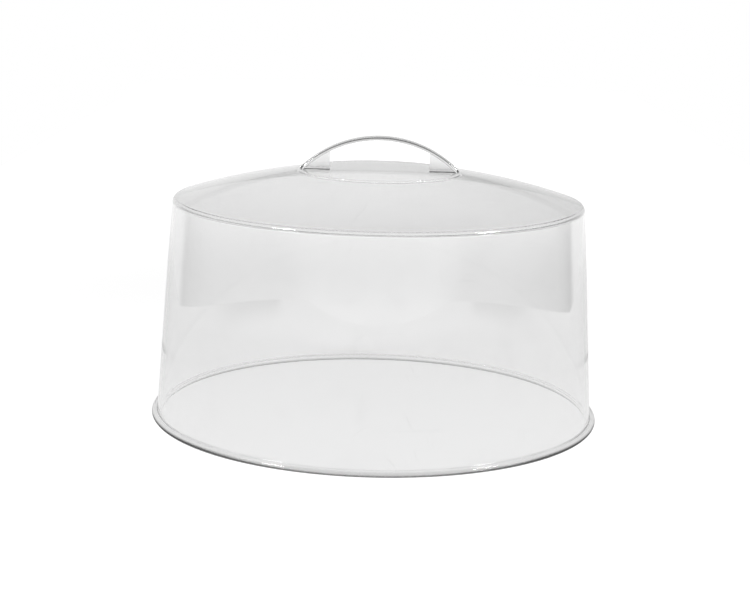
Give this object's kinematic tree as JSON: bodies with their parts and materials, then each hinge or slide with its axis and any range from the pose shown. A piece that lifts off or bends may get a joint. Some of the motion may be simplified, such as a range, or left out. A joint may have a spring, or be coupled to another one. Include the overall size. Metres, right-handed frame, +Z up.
{
  "type": "cake cover",
  "caption": "Round clear cake cover, open below, with a tapered wall, low domed top, turned-out rim bead and a clear bow handle bonded to the flat land on top.",
  "frame": {"origin": "centre of the open mouth, in the plane that the rim rests on", "axes": "+Z up along the shell's axis, X along the handle, Y across it"},
  "size_m": [0.318, 0.318, 0.1989],
  "materials": {
    "clear_shell": "clear, glossy, colourless",
    "clear_handle": "clear, glossy, colourless"
  },
  "bodies": {
    "root": {"cover_shell": "clear_shell", "carry_handle": "clear_handle"}
  },
  "joints": []
}
